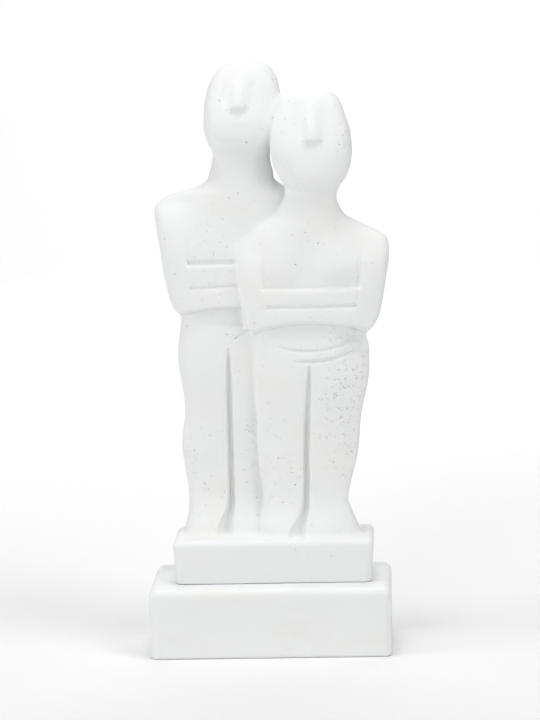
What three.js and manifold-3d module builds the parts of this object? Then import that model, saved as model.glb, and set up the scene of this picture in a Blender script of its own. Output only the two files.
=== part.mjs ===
// A cast couple in the manner of the marble figurines of the Cyclades: two standing figures with
// folded arms, fused side by side and cast in one with a thin slab, which rests on a plain plinth.
//
// Millimetres, +Z up, +X to the viewer's right, +Y away from the viewer.
// The origin is the middle of the plinth's underside.

import * as THREE from 'three';
import Module from 'manifold-3d';

// Plinth: the loose block below
const plinthWidth = 82;
const plinthDepth = 41;
const plinthHeight = 24;
const plinthCorner = 3;
const plinthEdge = 2.8;
const plinthTaper = 0.3;

// Slab: the thin base that is cast in one with the figures
const slabWidth = 68.1;
const slabDepth = 26.5;
const slabHeight = 15;
const slabCorner = 2.4;
const slabEdge = 2;
const slabTaper = 0.9;
const slabOffsetX = 1.25;
const slabOffsetY = -0.4;

// Figures: height above the slab, and where each one stands on it
const tallHeight = 160;
const shortHeight = 150.4;
const tallX = -13.2;
const tallY = 3.9;
const shortX = 13.3;
const shortY = -1.6;
const footingDepth = 1.2;

// Facets
const cornerSteps = 5;
const edgeSteps = 3;
const rowSpacing = 4;
const headRowSpacing = 2.4;
const grooveHalfWidth = 0.7;
const shoulderHeight = 0.68; // share of the height, above which the rows lie closer
const footRow = 0.02; // share of the height
const crownRows = [0.982, 0.994]; // shares of the height
const frontColumns = [0, 0.07, 0.14, 0.24, 0.36, 0.48, 0.59, 0.63, 0.67, 0.77, 0.87, 0.955, 1];
const backColumns = [0.92, 0.72, 0.46, 0.2, 0.09, 0];

// Curves that both figures share. Each pair is a height and a value, both as shares of the
// figure's height, from the soles (0) to the crown (1).
const frontDepth = [
  [-0.02, 0.052], [0.012, 0.0495], [0.04, 0.0385], [0.062, 0.031], [0.09, 0.0268], [0.2, 0.033],
  [0.275, 0.04], [0.36, 0.048], [0.42, 0.049], [0.47, 0.047], [0.6, 0.0485], [0.67, 0.048],
  [0.7, 0.0475], [0.73, 0.0455], [0.76, 0.0435], [0.785, 0.0415], [0.8, 0.041], [0.808, 0.0445],
  [0.82, 0.0565], [0.834, 0.0665], [0.85, 0.0705], [0.872, 0.069], [0.9, 0.0625], [0.93, 0.0525],
  [0.96, 0.0405], [0.985, 0.026], [1, 0.011],
];
const backDepth = [
  [-0.02, 0.033], [0.02, 0.034], [0.075, 0.032], [0.2, 0.05], [0.275, 0.037], [0.37, 0.056],
  [0.4, 0.058], [0.47, 0.038], [0.6, 0.05], [0.68, 0.048], [0.73, 0.036], [0.785, 0.031],
  [0.83, 0.042], [0.89, 0.05], [0.95, 0.0465], [0.985, 0.036], [1, 0.023],
];
const squareness = [
  [-0.02, 3], [0.09, 3], [0.2, 2.5], [0.4, 2.6], [0.6, 3], [0.7, 2.6], [0.77, 2.2], [0.82, 2.6],
  [0.88, 3.4], [1, 3],
];
const cleftProfile = [[-0.02, 0.026], [0.06, 0.026], [0.3, 0.03], [0.37, 0.016]];

const tallFigure = {
  height: tallHeight,
  x: tallX,
  y: tallY,
  // sideways drift of the body's axis
  lean: [[0, 0.001], [0.4, 0.004], [0.47, 0.016], [0.6, 0.025], [0.735, 0.034], [0.756, 0.0375],
    [0.77, 0.039], [0.8, 0.04], [0.87, 0.044], [0.95, 0.049], [0.985, 0.053], [1, 0.057]],
  // sideways drift of the body's middle line from its axis
  midline: [[0, -0.003], [0.1, 0], [0.75, 0], [0.88, -0.006], [1, -0.008]],
  // how far the head's depths lie lower than in the shared curves
  chinDrop: [[0.7, 0], [1, 0]],
  halfWidth: [[-0.02, 0.104], [0.012, 0.102], [0.042, 0.094], [0.074, 0.092], [0.195, 0.105],
    [0.267, 0.096], [0.383, 0.11], [0.425, 0.109], [0.463, 0.113], [0.473, 0.118], [0.483, 0.129],
    [0.497, 0.137], [0.65, 0.17], [0.694, 0.177], [0.711, 0.169], [0.727, 0.14], [0.74, 0.091],
    [0.756, 0.0703], [0.77, 0.0675], [0.785, 0.063], [0.806, 0.0605], [0.838, 0.074], [0.87, 0.081],
    [0.903, 0.081], [0.95, 0.074], [0.982, 0.058], [0.994, 0.041], [1, 0.026]],
  // how far the shoulders slope back, and how far left and right of the middle that starts
  shoulderSlope: [[0.65, 0], [0.685, 0.009], [0.715, 0.026], [0.76, 0.026], [0.79, 0]],
  shoulderFrom: [0.065, 0.065],
  armsBottom: 0.467,
  armsArch: 0.018,
  upperLine: 0.582,
  lowerLine: 0.534,
  upperLineDepth: 0.0052,
  armLineTop: 0.642,
  armLineBottom: [0.582, 0.582],
  bellyLines: [{ at: 0.4525, sag: 0, reach: 0.4 }],
  cleftTop: 0.404,
  bust: 0.002,
  noseTop: 0.968,
  noseBottom: 0.906,
};

const shortFigure = {
  height: shortHeight,
  x: shortX,
  y: shortY,
  lean: [[0, 0.002], [0.045, -0.002], [0.075, -0.005], [0.19, 0.003], [0.27, 0.007],
    [0.38, 0.0135], [0.46, 0.013], [0.5, 0.017], [0.64, 0.02], [0.7, 0.015], [0.745, 0.017],
    [0.8, 0.026], [0.87, 0.0235], [0.98, 0.021], [1, 0.014]],
  midline: [[0, -0.012], [0.05, -0.004], [0.1, 0], [0.2, -0.005], [0.5, -0.005], [0.75, 0],
    [0.9, 0.006], [1, 0.006]],
  chinDrop: [[0.66, 0], [0.74, 0.036], [0.8, 0.036], [0.93, 0.006], [1, 0]],
  halfWidth: [[-0.02, 0.116], [0.006, 0.113], [0.053, 0.1], [0.075, 0.0945], [0.135, 0.103],
    [0.19, 0.112], [0.27, 0.1165], [0.33, 0.1255], [0.38, 0.13], [0.425, 0.13], [0.451, 0.1245],
    [0.459, 0.131], [0.475, 0.144], [0.5, 0.153], [0.58, 0.1665], [0.645, 0.173], [0.668, 0.171],
    [0.68, 0.159], [0.705, 0.111], [0.722, 0.081], [0.745, 0.0655], [0.767, 0.058],
    [0.786, 0.062], [0.805, 0.0745], [0.84, 0.0875], [0.867, 0.0915], [0.898, 0.0905],
    [0.941, 0.0795], [0.981, 0.065], [0.994, 0.053], [1, 0.034]],
  shoulderSlope: [[0.61, 0], [0.655, 0.012], [0.7, 0.028], [0.76, 0.028], [0.79, 0]],
  shoulderFrom: [0.085, 0.01],
  armsBottom: 0.4535,
  armsArch: 0.027,
  upperLine: 0.559,
  lowerLine: 0.522,
  upperLineDepth: 0.0022,
  armLineTop: 0.64,
  armLineBottom: [0.559, 0.522],
  bellyLines: [
    { at: 0.4235, sag: 0.026, reach: 0.66 },
    { at: 0.4485, sag: 0.0275, reach: 0.72 },
  ],
  cleftTop: 0.396,
  bust: 0.009,
  noseTop: 0.984,
  noseBottom: 0.89,
};

// Carving that both figures share. Depths and heights are shares of the figure's height,
// and places across are shares of the half width, from the middle line (0) to the flank (1).
const forearmRise = 0.0075;
const shoulderFade = 0.69; // height where the arms run into the shoulders
const shoulderTo = 0.145; // share of the height
const lineDepth = 0.0036;
const lineFade = 0.2;
const armLineAcross = 0.63;
const armLineHalfWidth = 0.04;
const armLineFade = 0.02;
const bustAcross = 0.36;
const bustHalfWidth = 0.27;
const bustAboveLine = 0.054;
const bustHalfHeight = 0.06;
const cleftHalfWidth = 0.125;
const cleftFade = 0.05;
const sagFade = 0.06;
const archKept = 0.02;
const noseRise = 0.011;
const noseHalfWidthTop = 0.009; // share of the height
const noseHalfWidthBottom = 0.02; // share of the height
const mouthDepth = 0.004;

// The plainer back
const spineDepth = 0.006;
const spineHalfWidth = 0.2;
const spineBottom = 0.42;
const spineTop = 0.74;
const spineFade = 0.07;
const seatRise = 0.008;
const seatHeight = 0.385;
const seatHalfHeight = 0.05;
const seatAcross = 0.45;
const seatHalfWidth = 0.4;
const backCleftDepth = 0.018;
const backCleftHalfWidth = 0.2;

const stone = { color: 0xf1f0ec, roughness: 0.62, metalness: 0 };
const plinthStone = { color: 0xf4f3f0, roughness: 0.48, metalness: 0 };

// A value between the pairs of a curve, without overshoot: a monotone cubic
function along(curve, at) {
  const last = curve.length - 1;
  if (at <= curve[0][0]) return curve[0][1];
  if (at >= curve[last][0]) return curve[last][1];
  let i = 0;
  while (at > curve[i + 1][0]) i += 1;
  const step = curve[i + 1][0] - curve[i][0];
  const slope = (k) => (curve[k + 1][1] - curve[k][1]) / (curve[k + 1][0] - curve[k][0]);
  const tangent = (k) => {
    if (k === 0 || k === last) return 0;
    const before = slope(k - 1);
    const after = slope(k);
    return before * after <= 0 ? 0 : (2 * before * after) / (before + after);
  };
  const t = (at - curve[i][0]) / step;
  const rise = curve[i + 1][1] - curve[i][1];
  const ease = t * t * (3 - 2 * t);
  const enter = t * (1 - t) * (1 - t) * step * tangent(i);
  const leave = t * t * (t - 1) * step * tangent(i + 1);
  return curve[i][1] + rise * ease + enter + leave;
}

// 1 at the middle of a V-shaped notch, 0 at its edges
const notch = (distance, halfWidth) => Math.max(0, 1 - Math.abs(distance) / halfWidth);

// 0 below the first value, 1 above the second
const ramp = (value, from, to) => THREE.MathUtils.clamp((value - from) / (to - from), 0, 1);

// A closed surface through rings of as many points each, flat at both ends
function skin(rings) {
  const count = rings[0].length;
  const points = rings.flat();
  const faces = [];
  for (let ring = 0; ring < rings.length - 1; ring += 1) {
    for (let i = 0; i < count; i += 1) {
      const next = (i + 1) % count;
      const a = ring * count + i;
      const b = ring * count + next;
      const c = (ring + 1) * count + next;
      const d = (ring + 1) * count + i;
      faces.push(a, b, c, a, c, d);
    }
  }
  for (const [ring, side] of [[0, -1], [rings.length - 1, 1]]) {
    const middle = new THREE.Vector3();
    rings[ring].forEach((point) => middle.addScaledVector(point, 1 / count));
    const hub = points.push(middle) - 1;
    for (let i = 0; i < count; i += 1) {
      const a = ring * count + i;
      const b = ring * count + ((i + 1) % count);
      if (side > 0) faces.push(hub, a, b);
      else faces.push(hub, b, a);
    }
  }
  const geometry = new THREE.BufferGeometry().setFromPoints(points);
  geometry.setIndex(faces);
  return geometry;
}

// A rectangle with round corners at one height, counter-clockwise from above
function rectangleRing(width, depth, corner, z) {
  const ring = [];
  for (let quarter = 0; quarter < 4; quarter += 1) {
    const toRight = quarter === 0 || quarter === 3 ? 1 : -1;
    const toBack = quarter < 2 ? 1 : -1;
    for (let i = 0; i <= cornerSteps; i += 1) {
      const angle = (quarter + i / cornerSteps) * Math.PI / 2;
      const x = toRight * (width / 2 - corner) + corner * Math.cos(angle);
      const y = toBack * (depth / 2 - corner) + corner * Math.sin(angle);
      ring.push(new THREE.Vector3(x, y, z));
    }
  }
  return ring;
}

// A block that widens by its taper towards the top, with round corners and a round top edge
function block(width, depth, height, corner, edge, taper) {
  const round = Math.min(edge, height / 2, corner * 0.95);
  const rings = [rectangleRing(width - 2 * taper, depth - 2 * taper, corner - taper, 0)];
  for (let i = 0; i <= edgeSteps; i += 1) {
    const angle = i / edgeSteps * Math.PI / 2;
    const inset = round * (1 - Math.cos(angle));
    const z = height - round + round * Math.sin(angle);
    rings.push(rectangleRing(width - 2 * inset, depth - 2 * inset, corner - inset, z));
  }
  return skin(rings);
}

// Heights of a figure's rows, as shares: its features, three rows for each incised line,
// and plain rows between them
function rowHeights(figure) {
  const half = grooveHalfWidth / figure.height;
  const lines = [figure.upperLine, figure.lowerLine, ...figure.bellyLines.map((line) => line.at)];
  const marks = [
    -footingDepth / figure.height, 0, footRow, figure.cleftTop, figure.armsBottom - half,
    figure.armsBottom, figure.armsBottom + 2 * half, figure.armLineTop, figure.noseBottom - 2 * half,
    figure.noseBottom - half, figure.noseBottom, figure.noseTop, ...crownRows, 1,
    ...lines.flatMap((line) => [line - half, line, line + half]),
  ].sort((a, b) => a - b);
  const heights = [marks[0]];
  for (let i = 1; i < marks.length; i += 1) {
    const spacing = marks[i] > shoulderHeight ? headRowSpacing : rowSpacing;
    const gap = marks[i] - marks[i - 1];
    const parts = Math.max(1, Math.round(gap * figure.height / spacing));
    for (let part = 1; part <= parts; part += 1) heights.push(marks[i - 1] + gap * part / parts);
  }
  return heights;
}

// How far a row rises on its way from the flank (side 1) to the middle line (side 0), as a share:
// down along the belly lines, up under the folded arms
function rowLift(figure, side, height) {
  const under = figure.armsBottom;
  const lines = figure.bellyLines.map((line) => [line.at, line.sag]);
  const sag = along([[figure.cleftTop - sagFade, 0], ...lines, [under, 0]], height);
  const lastLine = figure.bellyLines.at(-1).at;
  const arch = along([[lastLine, 0], [under, figure.armsArch], [under + archKept, figure.armsArch],
    [figure.lowerLine - archKept / 2, 0]], height);
  const inward = 1 - side * side;
  return arch * inward - sag * inward ** 1.5;
}

// Carving on the front: how far the surface stands out, as a share of the height
function frontRelief(figure, side, height) {
  const across = Math.abs(side);
  const half = grooveHalfWidth / figure.height;
  const inner = 1 - ramp(across, armLineAcross, armLineAcross + armLineHalfWidth);

  const aboveArms = ramp(height, figure.upperLine, figure.upperLine + half) * inner;
  const forearms = ramp(height, figure.armsBottom - half, figure.armsBottom + 2 * half);
  const upperArms = 1 - ramp(height, figure.upperLine, shoulderFade);
  let relief = forearmRise * forearms * upperArms * (1 - aboveArms);

  relief -= figure.upperLineDepth * notch(height - figure.upperLine, half) * inner;
  relief -= lineDepth * notch(height - figure.lowerLine, half) * inner;
  for (const line of figure.bellyLines) {
    const reach = 1 - ramp(across, line.reach - lineFade, line.reach);
    relief -= lineDepth * notch(height - line.at, half) * reach;
  }

  const lineBottom = figure.armLineBottom[side < 0 ? 0 : 1];
  const lineTop = 1 - ramp(height, figure.armLineTop - armLineFade, figure.armLineTop);
  const armLine = ramp(height, lineBottom - half, lineBottom) * lineTop;
  relief -= lineDepth * armLine * notch(across - armLineAcross, armLineHalfWidth);

  const fromBust = (across - bustAcross) / bustHalfWidth;
  const overBust = (height - figure.upperLine - bustAboveLine) / bustHalfHeight;
  relief += figure.bust * Math.max(0, 1 - fromBust ** 2 - overBust ** 2);

  const legs = 1 - ramp(height, figure.cleftTop - cleftFade, figure.cleftTop);
  relief -= along(cleftProfile, height) * legs * notch(across, cleftHalfWidth);
  return relief;
}

// The nose ridge and the small hollow below it, by the distance from the middle line
function faceRelief(figure, distance, height) {
  const half = grooveHalfWidth / figure.height;
  const down = 1 - ramp(height, figure.noseBottom, figure.noseTop);
  const width = THREE.MathUtils.lerp(noseHalfWidthTop, noseHalfWidthBottom, down);
  const below = ramp(height, figure.noseBottom - half, figure.noseBottom);
  const above = height < figure.noseTop ? 1 : 0;
  const ridge = noseRise * Math.sqrt(down) * below * above * notch(distance, width);
  const hollow = notch(height - figure.noseBottom + 1.5 * half, 1.5 * half);
  return ridge - mouthDepth * hollow * (distance < noseHalfWidthBottom ? 1 : 0);
}

// Carving on the back: a shallow spine, the seat and the parting of the legs
function backRelief(figure, side, height) {
  const across = Math.abs(side);
  const spine = ramp(height, spineBottom, spineBottom + spineFade)
    * (1 - ramp(height, spineTop - spineFade, spineTop));
  const legs = 1 - ramp(height, figure.cleftTop - cleftFade, figure.cleftTop + cleftFade / 2);
  const overSeat = (height - seatHeight) / seatHalfHeight;
  const fromSeat = (across - seatAcross) / seatHalfWidth;
  return seatRise * Math.max(0, 1 - overSeat ** 2 - fromSeat ** 2)
    - spineDepth * spine * notch(across, spineHalfWidth)
    - backCleftDepth * legs * notch(across, backCleftHalfWidth);
}

// One horizontal ring of a figure: the front from the viewer's left to right, then the back
function figureRing(figure, height) {
  const size = figure.height;
  const halfWidth = along(figure.halfWidth, height);
  const power = along(squareness, height);
  const axis = along(figure.lean, height);
  const middle = along(figure.midline, height);
  const chest = along(frontDepth, height + along(figure.chinDrop, height));
  const slope = along(figure.shoulderSlope, height);
  const starts = (side) => figure.shoulderFrom[side < 0 ? 0 : 1];
  const drawn = (side) => ramp(Math.abs(side) * halfWidth, starts(side), shoulderTo);
  const front = (side) => chest - slope * drawn(side);
  const bulge = (side) => Math.max(0, 1 - Math.abs(side) ** power) ** (1 / power);
  const offFlank = (side) => Math.min(1, 2 * bulge(side));
  const place = (side, depth, rise) => {
    const x = figure.x + size * (axis + halfWidth * side + middle * (1 - side * side));
    return new THREE.Vector3(x, figure.y + size * depth, size * (height + rise));
  };
  const ring = [];
  for (const side of [...frontColumns.map((s) => -s).reverse(), ...frontColumns.slice(1)]) {
    const relief = frontRelief(figure, side, height)
      + faceRelief(figure, Math.abs(side) * halfWidth, height);
    const depth = front(side) * bulge(side) + relief * offFlank(side);
    ring.push(place(side, -depth, rowLift(figure, side, height)));
  }
  for (const side of [...backColumns, ...backColumns.slice(0, -1).map((s) => -s).reverse()]) {
    const relief = backRelief(figure, side, height) * offFlank(side);
    ring.push(place(side, along(backDepth, height) * bulge(side) + relief, 0));
  }
  return ring;
}

// A whole figure, standing on z = 0 with its footing below
function figureSkin(figure) {
  return skin(rowHeights(figure).map((height) => figureRing(figure, height)));
}

const wasm = await Module();
wasm.setup();

// A closed indexed geometry as a solid that can be joined
function toSolid(geometry) {
  const vertProperties = geometry.attributes.position.array;
  const triVerts = Uint32Array.from(geometry.index.array);
  return new wasm.Manifold(new wasm.Mesh({ numProp: 3, vertProperties, triVerts }));
}

function toGeometry(solid) {
  const mesh = solid.getMesh();
  const geometry = new THREE.BufferGeometry();
  geometry.setAttribute('position', new THREE.BufferAttribute(mesh.vertProperties, 3));
  geometry.setIndex(new THREE.BufferAttribute(mesh.triVerts, 1));
  geometry.computeVertexNormals();
  return geometry;
}

// The two figures and the slab, cast in one
function coupleOnSlab() {
  const slab = block(slabWidth, slabDepth, slabHeight, slabCorner, slabEdge, slabTaper);
  slab.translate(slabOffsetX, slabOffsetY, 0);
  const tall = figureSkin(tallFigure).translate(0, 0, slabHeight);
  const short = figureSkin(shortFigure).translate(0, 0, slabHeight);
  return toGeometry(toSolid(slab).add(toSolid(tall)).add(toSolid(short)));
}

function piece(name, geometry, finish, z) {
  const mesh = new THREE.Mesh(geometry, new THREE.MeshStandardMaterial(finish));
  mesh.name = name;
  mesh.position.z = z;
  return mesh;
}

const plinth = block(plinthWidth, plinthDepth, plinthHeight, plinthCorner, plinthEdge, plinthTaper);
plinth.computeVertexNormals();

const group = new THREE.Group();
group.add(piece('plinth', plinth, plinthStone, 0));
group.add(piece('couple_on_slab', coupleOnSlab(), stone, plinthHeight));

export default group;
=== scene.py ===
"""Finishes a cast couple in the manner of the Cycladic marble figurines, on slab and plinth.

Each operator in the sidebar makes one piece around the loaded solids: the cast couple with its
slab, the plinth block, and the stage with its lamps and camera. Fields are worked out in
millimetres, and meshes are made in metres.
"""

import math
from types import SimpleNamespace

import bpy
import numpy as np
from mathutils import Matrix, Vector


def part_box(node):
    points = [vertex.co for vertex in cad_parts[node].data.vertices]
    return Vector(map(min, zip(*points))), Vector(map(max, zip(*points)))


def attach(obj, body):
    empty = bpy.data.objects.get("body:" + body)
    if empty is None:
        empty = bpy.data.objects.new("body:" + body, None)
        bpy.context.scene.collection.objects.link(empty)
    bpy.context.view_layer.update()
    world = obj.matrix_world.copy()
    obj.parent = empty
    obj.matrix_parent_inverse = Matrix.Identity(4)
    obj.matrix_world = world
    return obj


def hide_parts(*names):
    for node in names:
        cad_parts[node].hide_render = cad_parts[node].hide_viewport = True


bl_info = {
    "name": "Cast couple figurine",
    "version": (1, 0, 0),
    "blender": (4, 5, 0),
    "location": "3D View > Sidebar > Figurine",
    "description": "Makes a cast couple on a slab, its plinth block and a plain stage",
    "category": "Object",
}

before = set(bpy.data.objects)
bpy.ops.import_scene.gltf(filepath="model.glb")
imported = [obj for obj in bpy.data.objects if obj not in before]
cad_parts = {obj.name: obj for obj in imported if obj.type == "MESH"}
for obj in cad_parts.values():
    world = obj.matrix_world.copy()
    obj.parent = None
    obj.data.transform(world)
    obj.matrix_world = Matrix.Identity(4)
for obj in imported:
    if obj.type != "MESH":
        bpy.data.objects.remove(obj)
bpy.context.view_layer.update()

MM = 0.001
PLINTH_LOW, PLINTH_HIGH = (np.array(corner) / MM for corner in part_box("plinth"))
CAST_LOW, CAST_HIGH = (np.array(corner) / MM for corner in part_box("couple_on_slab"))

# Curves that both figures share. Each pair is a height and a value, both as shares of the
# figure's height, from the soles (0) to the crown (1). The depths run from a figure's middle
# plane to the front and to the back.
FRONT_DEPTH = [
    (-0.02, 0.052), (0.012, 0.0495), (0.04, 0.0385), (0.062, 0.031), (0.09, 0.0268), (0.2, 0.033),
    (0.275, 0.04), (0.36, 0.048), (0.42, 0.049), (0.47, 0.047), (0.6, 0.0485), (0.67, 0.048),
    (0.7, 0.0475), (0.73, 0.0455), (0.76, 0.0425), (0.785, 0.039), (0.8, 0.0375), (0.808, 0.0415),
    (0.82, 0.0555), (0.834, 0.0665), (0.85, 0.0705), (0.872, 0.069), (0.9, 0.0625), (0.93, 0.0525),
    (0.96, 0.0405), (0.985, 0.026), (1, 0.011),
]
BACK_DEPTH = [
    (-0.02, 0.033), (0.02, 0.034), (0.075, 0.032), (0.2, 0.05), (0.275, 0.037), (0.37, 0.056),
    (0.4, 0.058), (0.47, 0.038), (0.6, 0.05), (0.68, 0.048), (0.73, 0.036), (0.785, 0.031),
    (0.83, 0.042), (0.89, 0.05), (0.95, 0.0465), (0.985, 0.036), (1, 0.023),
]
# The power of the rounded rectangle that a level cut through a figure shows, at each height
SQUARENESS = [
    (-0.02, 3), (0.09, 3), (0.2, 2.5), (0.4, 2.6), (0.6, 3), (0.7, 2.6), (0.77, 2.2),
    (0.82, 2.6), (0.88, 3.4), (1, 3),
]
# The parting of the legs, drawn for one that ends at CLEFT_CURVE_TOP: its depth as a share of
# the height, its half width in millimetres
CLEFT_CURVE_TOP = 0.4
CLEFT_DEPTH = [
    (-0.02, 0.023), (0.05, 0.02), (0.1, 0.016), (0.25, 0.016), (0.34, 0.012), (0.38, 0.008),
    (0.4, 0.003),
]
CLEFT_HALF_WIDTH = [
    (-0.02, 3.6), (0.015, 3.1), (0.05, 1.9), (0.1, 1.4), (0.3, 1.4), (0.36, 1.1), (0.4, 0.6),
]

# The tall figure at the back, on the viewer's left. Height and place are in millimetres, and
# the curves are shares of the height, as above.
TALL = SimpleNamespace(
    height=160.0,
    x=-13.2,
    y=3.9,
    # sideways drift of the body's axis
    lean=[
        (0, 0.001), (0.4, 0.004), (0.47, 0.016), (0.6, 0.025), (0.735, 0.034),
        (0.756, 0.0375), (0.77, 0.039), (0.8, 0.04), (0.87, 0.044), (0.95, 0.049),
        (0.985, 0.053), (1, 0.057),
    ],
    # sideways drift of the body's middle line from its axis
    midline=[(0, -0.003), (0.1, 0), (0.75, 0), (0.88, -0.006), (1, -0.008)],
    # how far the head's depths lie lower than in the shared curves
    chin_drop=[(0.7, 0), (1, 0)],
    half_width=[
        (-0.02, 0.104), (0.012, 0.102), (0.042, 0.094), (0.074, 0.092), (0.195, 0.105),
        (0.267, 0.096), (0.383, 0.11), (0.425, 0.109), (0.463, 0.113), (0.473, 0.118),
        (0.483, 0.129), (0.497, 0.137), (0.65, 0.17), (0.694, 0.177), (0.711, 0.169),
        (0.727, 0.14), (0.74, 0.091), (0.756, 0.0703), (0.77, 0.0675), (0.785, 0.063),
        (0.806, 0.0605), (0.838, 0.074), (0.87, 0.081), (0.903, 0.081), (0.95, 0.074),
        (0.982, 0.058), (0.994, 0.041), (1, 0.026),
    ],
    # how far the shoulders slope back, and how far left and right of the middle that starts
    shoulder_slope=[(0.65, 0), (0.685, 0.009), (0.715, 0.026), (0.76, 0.026), (0.79, 0)],
    shoulder_from=(0.065, 0.065),
    # the lower edge of the folded arms, and how far it rises in the middle
    arms_bottom=0.467,
    arms_arch=0.018,
    # incised lines: height, depth, half width, slope to the viewer's right
    upper_line=(0.582, 1.15, 1.25, 0.01),
    lower_line=(0.534, 0.7, 0.8, 0.05),
    # the share of the forearms' rise that the chest above them loses
    chest_step=0.2,
    # how far up the forearms' lower edge is rounded
    forearm_turn=1.5,
    arm_line_top=0.645,
    arm_line_bottom=(0.582, 0.582),
    # belly lines: height, sag, reach to the viewer's left and right, depth
    belly_lines=[(0.4525, 0, 0.5, 0.5, 0.5)],
    cleft_top=0.405,
    # how far the parting of the legs turns aside at the feet
    cleft_flare=-1.9,
    # on the viewer's left and right: rise of the bust, depth of the lines beside the arms
    bust=(0.2, 0.2),
    arm_line_depth=(0.25, 0.25),
    # how much deeper the belly's hollow is at the right-hand flank
    flank_hollow=0,
    nose_top=0.968,
    nose_bottom=0.906,
    # the dark hollow below the nose
    hollow_height=3.8,
    hollow_depth=0.55,
)

# The short figure in front, on the viewer's right
SHORT = SimpleNamespace(
    height=150.4,
    x=13.3,
    y=-1.6,
    lean=[
        (0, 0.002), (0.045, -0.002), (0.075, -0.005), (0.19, 0.003), (0.27, 0.007),
        (0.38, 0.0135), (0.46, 0.013), (0.5, 0.017), (0.64, 0.02), (0.7, 0.015),
        (0.745, 0.017), (0.8, 0.026), (0.87, 0.0235), (0.98, 0.021), (1, 0.014),
    ],
    midline=[
        (0, -0.012), (0.05, -0.004), (0.1, 0), (0.2, -0.005), (0.5, -0.005), (0.75, 0),
        (0.9, 0.006), (1, 0.006),
    ],
    chin_drop=[(0.66, 0), (0.74, 0.036), (0.8, 0.036), (0.93, 0.006), (1, 0)],
    half_width=[
        (-0.02, 0.116), (0.006, 0.113), (0.053, 0.1), (0.075, 0.0945), (0.135, 0.103),
        (0.19, 0.112), (0.27, 0.1165), (0.33, 0.1255), (0.38, 0.13), (0.425, 0.13),
        (0.451, 0.1245), (0.459, 0.131), (0.475, 0.144), (0.5, 0.153), (0.58, 0.1665),
        (0.645, 0.173), (0.668, 0.171), (0.68, 0.159), (0.705, 0.111), (0.722, 0.081),
        (0.745, 0.0655), (0.767, 0.058), (0.786, 0.062), (0.805, 0.0745), (0.84, 0.0875),
        (0.867, 0.0915), (0.898, 0.0905), (0.941, 0.0795), (0.981, 0.065), (0.994, 0.053),
        (1, 0.034),
    ],
    shoulder_slope=[(0.61, 0), (0.655, 0.012), (0.7, 0.028), (0.76, 0.028), (0.79, 0)],
    shoulder_from=(0.085, 0.01),
    arms_bottom=0.4535,
    arms_arch=0.027,
    upper_line=(0.559, 0.3, 1.0, 0),
    lower_line=(0.522, 0.8, 0.85, 0),
    chest_step=0.5,
    forearm_turn=2.0,
    arm_line_top=0.64,
    arm_line_bottom=(0.559, 0.522),
    belly_lines=[(0.4235, 0.026, 0.3, 0.95, 0.85), (0.4485, 0.0275, 0.6, 0.95, 0.65)],
    cleft_top=0.394,
    cleft_flare=-2.4,
    bust=(1.2, 1.7),
    arm_line_depth=(0.25, 0.45),
    flank_hollow=2.2,
    nose_top=0.984,
    nose_bottom=0.89,
    hollow_height=3.0,
    hollow_depth=0.3,
)

# Carving that both figures share. Places across are shares of the half width, from the middle
# line (0) to the flank (1); heights are shares of the height; depths are millimetres.
FOREARM_RISE = 1.3
UNDER_ARM_HOLLOW = 1.8
UNDER_ARM_REACH = 4.0
SHOULDER_FADE = 0.69
SHOULDER_TO = 0.145  # share of the height
ARM_LINE_ACROSS = 0.625
ARM_LINE_HALF_WIDTH = 0.7
ARM_LINE_FADE = 0.03
ARM_SLOPE = 2.6
FLANK_FROM = 0.45
FLANK_TO = 0.9
BUST_ACROSS = 0.38
BUST_HALF_WIDTH = 0.33
BUST_ABOVE_LINE = 0.054
BUST_HALF_HEIGHT_BELOW = 0.05
BUST_HALF_HEIGHT_ABOVE = 0.095
BELLY_LINE_HALF_WIDTH = 0.75
NOSE_RISE = 1.5
NOSE_HALF_WIDTH_TOP = 1.8
NOSE_HALF_WIDTH_BOTTOM = 2.9
CHEEK_HOLLOW = 0.5
CHEEK_HOLLOW_OUT = 4.3
CHEEK_HOLLOW_SPREAD = 1.5
MOUTH_HALF_WIDTH = 3.5
SPINE_DEPTH = 1.0
SPINE_HALF_WIDTH = 0.2
SPINE_BOTTOM = 0.42
SPINE_TOP = 0.74
SEAT_RISE = 1.3
SEAT_HEIGHT = 0.385
SEAT_HALF_HEIGHT = 0.05
SEAT_ACROSS = 0.45
SEAT_HALF_WIDTH = 0.4
BACK_CLEFT_DEPTH = 2.8
BACK_CLEFT_HALF_WIDTH = 0.2

# How softly the castings run into each other, in millimetres. Between HEADS_FROM and
# HEADS_TO above the slab the join is tight, so the window beside the neck stays open.
JOIN_BODIES = 1.8
JOIN_HEADS = 0.5
HEADS_FROM = (110, 114)
HEADS_TO = (132, 138)
JOIN_FEET = 2.6
CROWN_ROUNDING = 1.4
# How far the figures reach down into the slab
FOOTING_DEPTH = 5
# The undersides of both blocks rise towards their rims, the slab's unevenly
BLOCK_ROUNDING = 0.5
PLINTH_RIM_RISE = 0.12
SLAB_RIM_RISE = 0.04
SLAB_RIM_UNEVEN = 0.14
# How much less the jaw is lowered at the sides of the head than in the middle
JAW_CURVE = 0.35
# The share of a figure's depth, from its middle plane, over which the carving fades in
CARVING_FADE = 0.35

# The old mould line that runs from the short figure's elbow across the tall one's hip
MOULD_LINE = ((-4.9, 109.6), (-10.4, 106.2))
MOULD_LINE_DEPTH = 0.7
MOULD_LINE_HALF_WIDTH = 0.8

# Patches with more casting pinholes: middle across, middle up, reach across, reach up, strength
PINHOLE_PATCHES = [
    (28, 84, 13, 34, 1.5),
    (5, 62, 9, 22, 0.4),
    (-6, 66, 5, 14, 0.7),
    (-17, 143, 12, 9, 0.45),
    (-24, 60, 7, 20, 0.3),
    (-5.5, 77, 2.5, 6, 1.2),
    (-13, 109, 4, 2.5, 1.2),
    (14, 141, 16, 7, 0.25),
    (28, 172, 4, 12, 0.35),
]

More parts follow.
